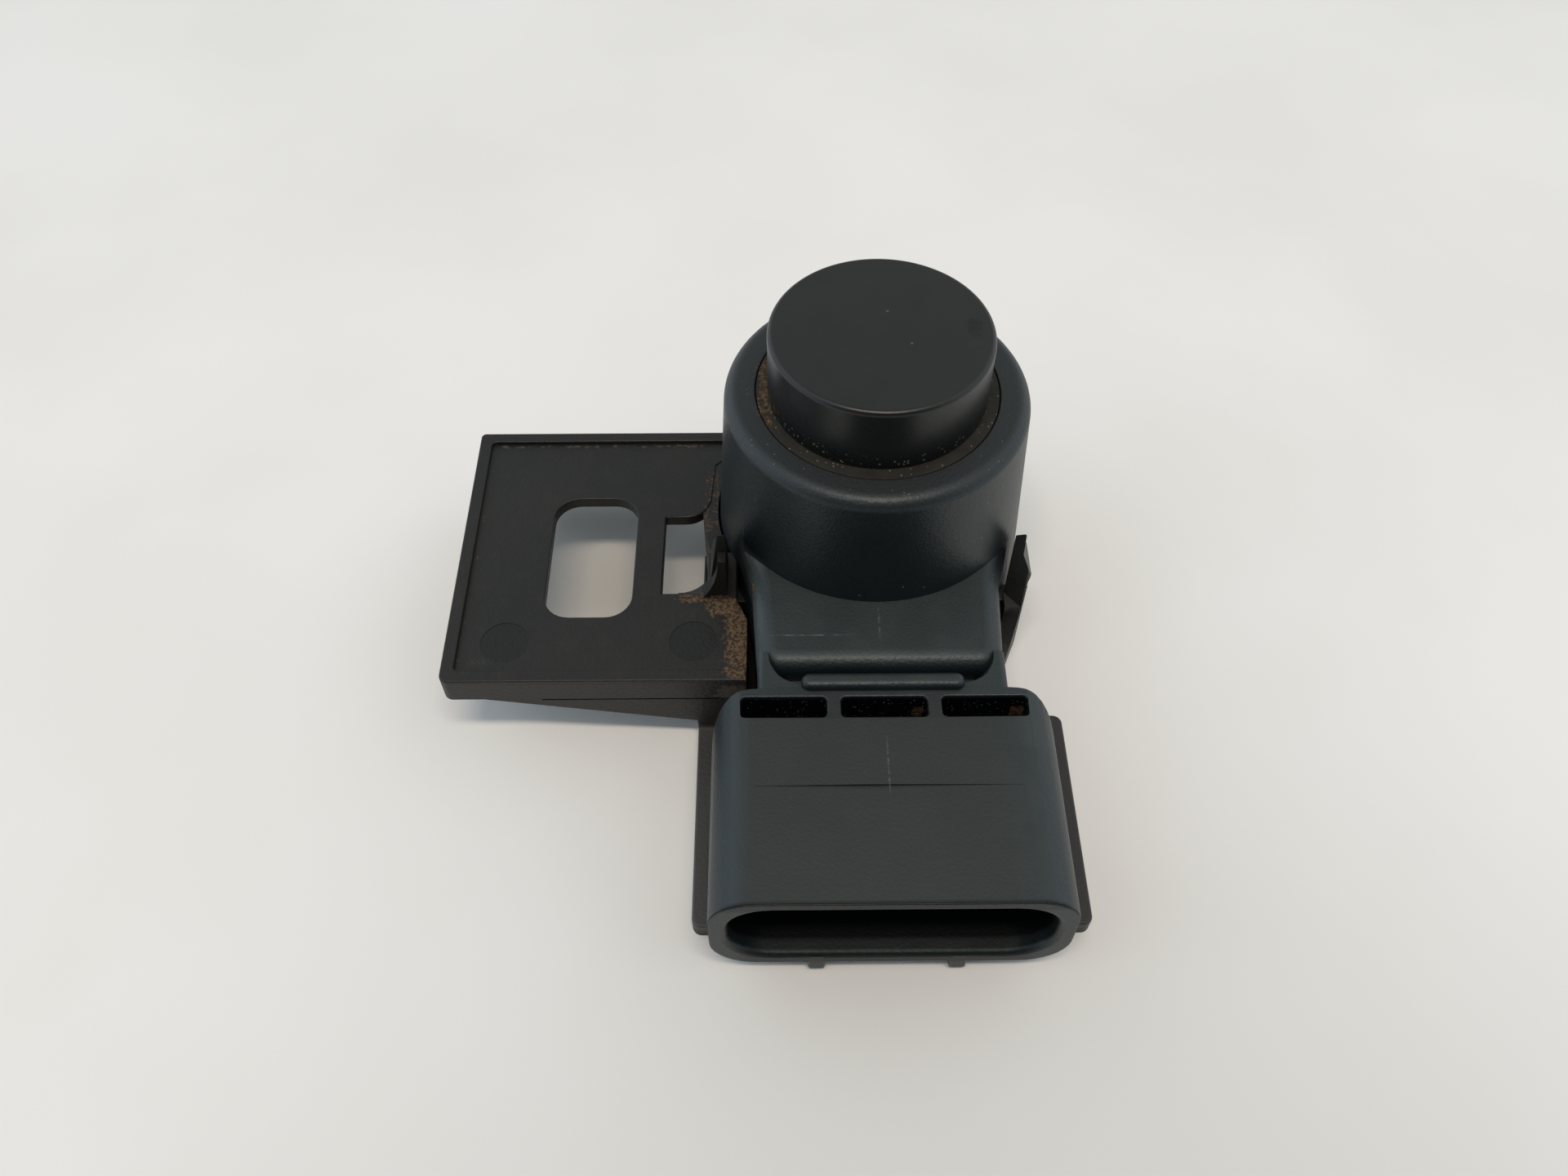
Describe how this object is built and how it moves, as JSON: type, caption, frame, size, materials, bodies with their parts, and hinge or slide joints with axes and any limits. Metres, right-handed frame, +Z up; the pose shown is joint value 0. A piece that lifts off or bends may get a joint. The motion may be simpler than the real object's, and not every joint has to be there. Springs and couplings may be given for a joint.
{
  "type": "parking sensor",
  "caption": "Ultrasonic bumper parking sensor with a round sounding face, block and oval plug socket, clipped into a moulded bracket with a slotted side plate.",
  "frame": {"origin": "on the barrel's axis at the underside of the bracket's base plate", "axes": "+Z up along the barrel's axis through the sounding face, -Y out of the plug socket's mouth, -X towards the slotted side plate"},
  "size_m": [0.0468, 0.0477, 0.0269],
  "materials": {
    "bracket_plastic": "moulded black polypropylene, matt, with brown dirt",
    "housing_plastic": "moulded dark slate polyamide, matt",
    "can_paint": "charcoal satin paint on aluminium",
    "sleeve_rubber": "black silicone rubber",
    "piezo_ceramic": "fired, silvered",
    "felt": "pressed felt",
    "silicone": "soft cast silicone",
    "carrier_plastic": "moulded",
    "pin_brass": "drawn",
    "copper": "enamelled copper wire",
    "board_laminate": "green solder resist",
    "chip_plastic": "moulded epoxy",
    "ferrite": "sintered",
    "bobbin_plastic": "moulded",
    "capacitor_plastic": "moulded",
    "capacitor_ceramic": "fired",
    "resistor_ceramic": "glazed",
    "terminal_tin": "tinned copper alloy",
    "potting": "cast black resin"
  },
  "bodies": {
    "root": {"bracket": "bracket_plastic", "sensor_housing": "housing_plastic", "transducer_can": "can_paint", "isolation_sleeve": "sleeve_rubber", "piezo_disc": "piezo_ceramic", "damping_felt": "felt", "transducer_filler": "silicone", "terminal_carrier": "carrier_plastic", "transducer_pins": "pin_brass", "piezo_leads": "copper", "circuit_board": "board_laminate", "signal_chip": "chip_plastic", "transformer_core": "ferrite", "transformer_bobbin": "bobbin_plastic", "transformer_winding": "copper", "storage_capacitor": "capacitor_plastic", "ceramic_capacitors": "capacitor_ceramic", "chip_resistors": "resistor_ceramic", "socket_terminals": "terminal_tin", "potting_compound": "potting"}
  },
  "joints": []
}
